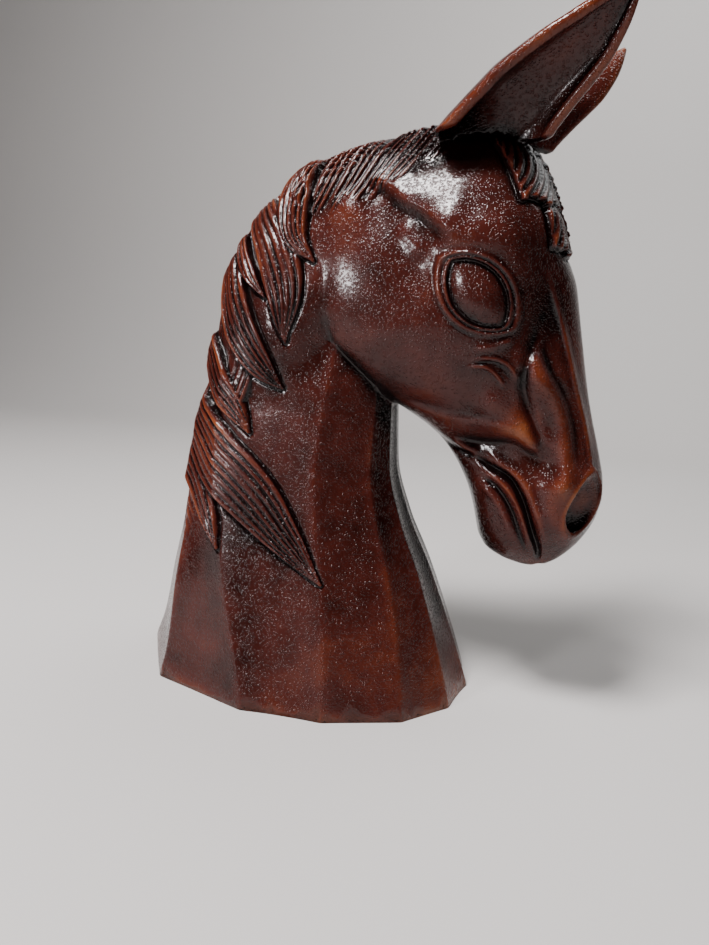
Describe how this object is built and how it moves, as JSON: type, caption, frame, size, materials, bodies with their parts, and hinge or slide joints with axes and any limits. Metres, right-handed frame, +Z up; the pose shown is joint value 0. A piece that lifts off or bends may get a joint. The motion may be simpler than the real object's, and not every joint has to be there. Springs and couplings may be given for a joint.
{
  "type": "horse head bust",
  "caption": "Arched horse head and neck carved in one piece, standing on its own flared, faceted neck as a tabletop ornament.",
  "frame": {"origin": "centre of the flat underside of the flared neck", "axes": "+X is the way the horse looks, +Y is the horse's left, +Z is up"},
  "size_m": [0.2735, 0.1454, 0.3629],
  "materials": {
    "lacquered_wood": "dark red-brown lacquer over a finely pebbled surface, near black in the cuts and amber on the ridges"
  },
  "bodies": {
    "root": {"horse_head_bust": "lacquered_wood"}
  },
  "joints": []
}
